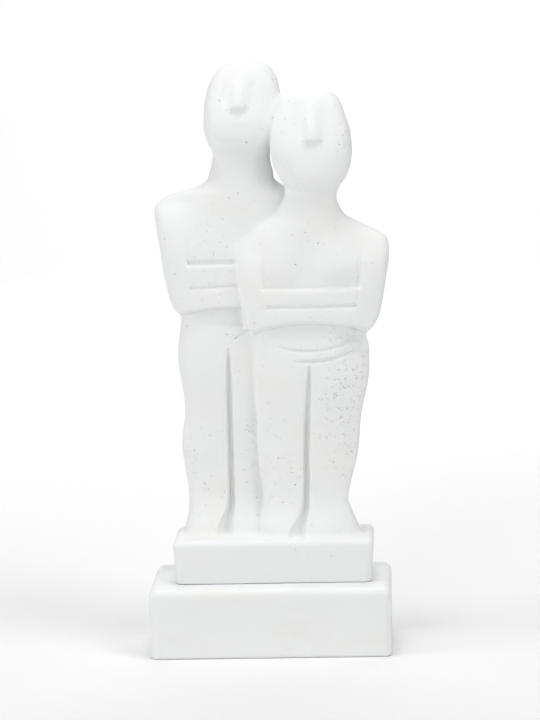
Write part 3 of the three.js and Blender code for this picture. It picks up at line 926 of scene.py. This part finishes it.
def honed_marble(colours):
    """White marble, sawn and honed: smooth with a dull gloss, with clouds some 18 mm wide and a
    sugary grain of 0.6 mm that shows only as a slight unevenness of the gloss."""
    material, tree, shader = new_material("honed_marble")
    place = add(tree, "ShaderNodeTexCoord").outputs["Object"]
    stretched = add(tree, "ShaderNodeMapping", {"Vector": place, "Scale": (0.5, 0.8, 1.3)})
    cloud = add(
        tree, "ShaderNodeTexNoise", {"Vector": stretched.outputs[0], "Scale": 1 / (15 * MM),
                                     "Detail": 5.0, "Roughness": 0.6, "Distortion": 0.6})
    vein = add(
        tree, "ShaderNodeMapRange",
        {"Value": cloud.outputs["Fac"], "From Min": 0.52, "From Max": 0.7, "To Max": 0.7},
        interpolation_type="SMOOTHSTEP").outputs[0]
    grain = add(
        tree, "ShaderNodeTexNoise", {"Vector": place, "Scale": 1 / (0.6 * MM), "Detail": 3.0})
    body = add(
        tree, "ShaderNodeMix", {"Factor": vein, 6: (*colours.marble, 1),
                                7: (*colours.marble_vein, 1)}, data_type="RGBA").outputs[2]
    gloss = add(
        tree, "ShaderNodeMapRange",
        {"Value": grain.outputs["Fac"], "To Min": 0.42, "To Max": 0.54}).outputs[0]
    bump = add(
        tree, "ShaderNodeBump", {"Strength": 0.3, "Distance": 0.04 * MM,
                                 "Height": grain.outputs["Fac"]}).outputs[0]
    tree.links.new(body, shader.inputs["Base Color"])
    tree.links.new(gloss, shader.inputs["Roughness"])
    tree.links.new(bump, shader.inputs["Normal"])
    shader.inputs["IOR"].default_value = 1.52
    shader.inputs["Subsurface Weight"].default_value = 0.1
    shader.inputs["Subsurface Radius"].default_value = (1.0, 0.9, 0.8)
    shader.inputs["Subsurface Scale"].default_value = 1.5 * MM
    return material


class FIGURINE_OT_cast_couple(bpy.types.Operator):
    """Makes the two figures and their slab as one cast piece"""

    bl_idname = "figurine.cast_couple"
    bl_label = "Cast couple on slab"

    def execute(self, context):
        sizes = context.scene.couple_sizes
        grid = sizes.grid / MM * 1
        margin = 1.0
        xs = graded(CAST_LOW[0] - margin, CAST_HIGH[0] + margin, grid * 1.15, grid * 0.9,
                    FINE_ACROSS)
        ys = np.arange(CAST_LOW[1] - margin, CAST_HIGH[1] + margin, grid * 1.4)
        zs = graded(CAST_LOW[2] - margin, CAST_HIGH[2] + margin, grid * 1.4, grid * 0.8,
                    FINE_UP)
        piece = mesh_from_field("couple_cast", cast_field(sizes), xs, ys, zs, 0.25)
        set_pitting(piece, sizes)
        finish = cast_alabaster(context.scene.finish_colours)
        press_pinholes(piece, context.scene.pinhole_sizes, finish)
        triangles = sum(len(face.vertices) - 2 for face in piece.data.polygons)
        if triangles > sizes.triangles:
            thin = piece.modifiers.new("Thin out", "DECIMATE")
            thin.ratio = sizes.triangles / triangles
            apply_modifiers(piece)
        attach(piece, "root")
        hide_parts("couple_on_slab")
        return {"FINISHED"}


class FIGURINE_OT_plinth(bpy.types.Operator):
    """Makes the honed plinth block"""

    bl_idname = "figurine.plinth"
    bl_label = "Plinth block"

    def execute(self, context):
        sizes = context.scene.plinth_sizes
        grid = sizes.grid / MM
        xs, ys, zs = (
            np.arange(PLINTH_LOW[n] - 1.1, PLINTH_HIGH[n] + 1.1, grid) for n in range(3))
        piece = mesh_from_field("plinth_block", plinth_field(sizes), xs, ys, zs, 0.3)
        piece.data.materials.append(honed_marble(context.scene.finish_colours))
        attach(piece, "root")
        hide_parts("plinth")
        return {"FINISHED"}


class FIGURINE_OT_stage(bpy.types.Operator):
    """Makes the pale floor, the soft lamps, the room light and the camera"""

    bl_idname = "figurine.stage"
    bl_label = "Stage"

    def execute(self, context):
        settings = context.scene.stage_settings
        self.floor(settings)
        self.lamps(settings)
        self.camera()
        context.scene.view_settings.view_transform = "Standard"
        return {"FINISHED"}

    def floor(self, settings):
        """A wide floor that sweeps up behind the object."""
        profile = [(FLOOR_FRONT, 0.0), (SWEEP_FROM, 0.0)]
        for i in range(1, SWEEP_STEPS + 1):
            angle = i / SWEEP_STEPS * math.pi / 2
            profile.append((
                SWEEP_FROM + SWEEP_RADIUS * math.sin(angle), SWEEP_RADIUS * (1 - math.cos(angle))))
        profile.append((SWEEP_FROM + SWEEP_RADIUS, SWEEP_TOP))
        points = [(x, y, z) for y, z in profile for x in (-FLOOR_WIDTH / 2, FLOOR_WIDTH / 2)]
        faces = [(2 * i, 2 * i + 1, 2 * i + 3, 2 * i + 2) for i in range(len(profile) - 1)]
        mesh = bpy.data.meshes.new("floor")
        mesh.from_pydata(points, [], faces)
        mesh.shade_smooth()
        floor = bpy.data.objects.new("floor", mesh)
        bpy.context.scene.collection.objects.link(floor)
        material, _, shader = new_material("matt_floor")
        shader.inputs["Base Color"].default_value = (*settings.floor, 1)
        shader.inputs["Roughness"].default_value = 0.9
        mesh.materials.append(material)

    def lamps(self, settings):
        """Six soft lamps around the object, one behind it for the backdrop, and weak light
        from all round."""
        middle = Vector(LAMP_AIM)
        for name, azimuth, elevation in LAMP_PLACES:
            turn, rise = math.radians(azimuth), math.radians(elevation)
            way = Vector((math.sin(turn) * math.cos(rise), -math.cos(turn) * math.cos(rise),
                          math.sin(rise)))
            place = middle + LAMP_DISTANCE * way
            self.lamp(name, place, middle, LAMP_SIZE, getattr(settings, name))
        self.lamp("backdrop_lamp", Vector(BACKDROP_LAMP_PLACE), Vector(BACKDROP_LAMP_AIM),
                  BACKDROP_LAMP_SIZE, settings.backdrop_lamp)
        world = bpy.data.worlds.new("soft_room")
        world.use_nodes = True
        tree = world.node_tree
        tree.nodes.clear()
        room = add(
            tree, "ShaderNodeBackground",
            {"Color": (1, 1, 1, 1), "Strength": settings.room_light})
        add(tree, "ShaderNodeOutputWorld", {"Surface": room.outputs[0]})
        bpy.context.scene.world = world

    def lamp(self, name, place, aim, size, power):
        """A square soft lamp."""
        data = bpy.data.lights.new(name, "AREA")
        data.shape = "SQUARE"
        data.size = size
        data.energy = power
        lamp = bpy.data.objects.new(name, data)
        bpy.context.scene.collection.objects.link(lamp)
        lamp.matrix_world = Matrix.Translation(place) @ (
            (aim - place).to_track_quat("-Z", "Y").to_matrix().to_4x4())

    def camera(self):
        """The camera at the photograph's place, a little turned about its own axis."""
        data = bpy.data.cameras.new("camera")
        data.lens = CAMERA_LENS
        data.sensor_width = 36
        data.clip_start = 0.05
        camera = bpy.data.objects.new("camera", data)
        bpy.context.scene.collection.objects.link(camera)
        place = Vector(CAMERA_PLACE) * MM
        aim = Vector(CAMERA_AIM) * MM
        camera.matrix_world = (
            Matrix.Translation(place)
            @ (aim - place).to_track_quat("-Z", "Y").to_matrix().to_4x4()
            @ Matrix.Rotation(math.radians(CAMERA_ROLL), 4, "Z"))
        bpy.context.scene.camera = camera


class FIGURINE_PT_panel(bpy.types.Panel):
    """Lists the figurine's pieces and their sizes"""

    bl_idname = "FIGURINE_PT_panel"
    bl_label = "Cast couple figurine"
    bl_space_type = "VIEW_3D"
    bl_region_type = "UI"
    bl_category = "Figurine"

    def draw(self, context):
        for group, operator in PANEL_ROWS:
            settings = getattr(context.scene, group)
            for key in settings.__annotations__:
                self.layout.prop(settings, key)
            if operator:
                self.layout.operator(operator)


PANEL_ROWS = (
    ("finish_colours", None),
    ("couple_sizes", None),
    ("pinhole_sizes", "figurine.cast_couple"),
    ("plinth_sizes", "figurine.plinth"),
    ("stage_settings", "figurine.stage"),
)
GROUPS = {
    "couple_sizes": CoupleSizes,
    "pinhole_sizes": PinholeSizes,
    "plinth_sizes": PlinthSizes,
    "finish_colours": FinishColours,
    "stage_settings": StageSettings,
}
CLASSES = (
    *GROUPS.values(), FIGURINE_OT_cast_couple, FIGURINE_OT_plinth, FIGURINE_OT_stage,
    FIGURINE_PT_panel,
)


def register():
    """Adds the classes, and their settings to the scene."""
    for each in CLASSES:
        bpy.utils.register_class(each)
    for name, group in GROUPS.items():
        setattr(bpy.types.Scene, name, bpy.props.PointerProperty(type=group))


def unregister():
    """Takes the settings and the classes away again."""
    for name in GROUPS:
        delattr(bpy.types.Scene, name)
    for each in reversed(CLASSES):
        bpy.utils.unregister_class(each)


def main():
    """Makes every piece and the stage."""
    register()
    bpy.ops.figurine.cast_couple()
    bpy.ops.figurine.plinth()
    bpy.ops.figurine.stage()


if __name__ == "__main__":
    main()
